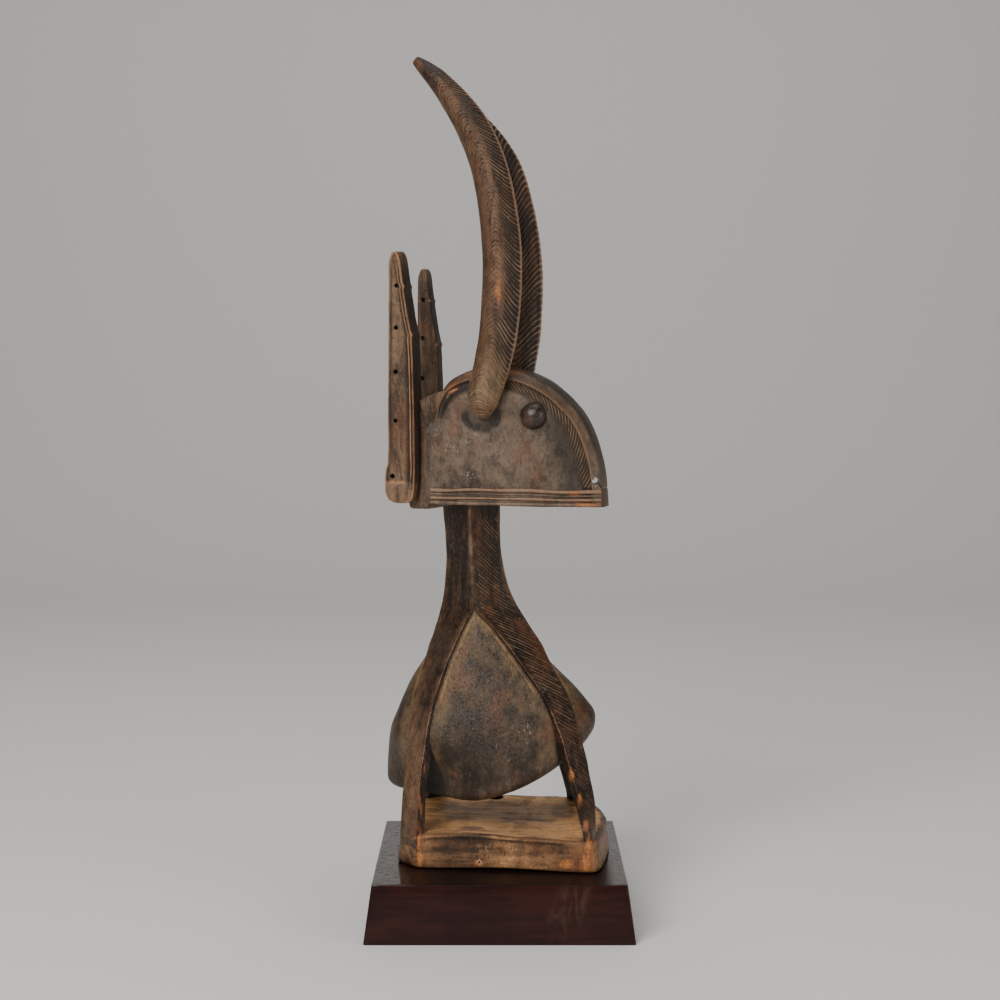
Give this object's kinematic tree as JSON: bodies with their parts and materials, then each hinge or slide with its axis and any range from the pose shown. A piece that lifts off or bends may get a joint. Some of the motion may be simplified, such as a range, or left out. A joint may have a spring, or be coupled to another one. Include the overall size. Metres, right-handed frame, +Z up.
{
  "type": "chiwara headdress",
  "caption": "Carved wooden antelope headdress with long ringed horns, upright ears, a domed head and a body slung between splayed legs, resting on a low square wooden plinth.",
  "frame": {"origin": "middle of the plinth's underside", "axes": "+Z up; the plinth's front face looks towards -Y and the antelope towards +X, its body turned about 6.5 degrees and its head about 20 degrees to the front"},
  "size_m": [0.1788, 0.1788, 0.5883],
  "materials": {
    "carved_wood": "dark brown handled wood, satin, worn to orange and tan along its edges",
    "plinth_wood": "very dark reddish brown stain, satin gloss"
  },
  "bodies": {
    "root": {"headdress": "carved_wood", "plinth": "plinth_wood"}
  },
  "joints": []
}
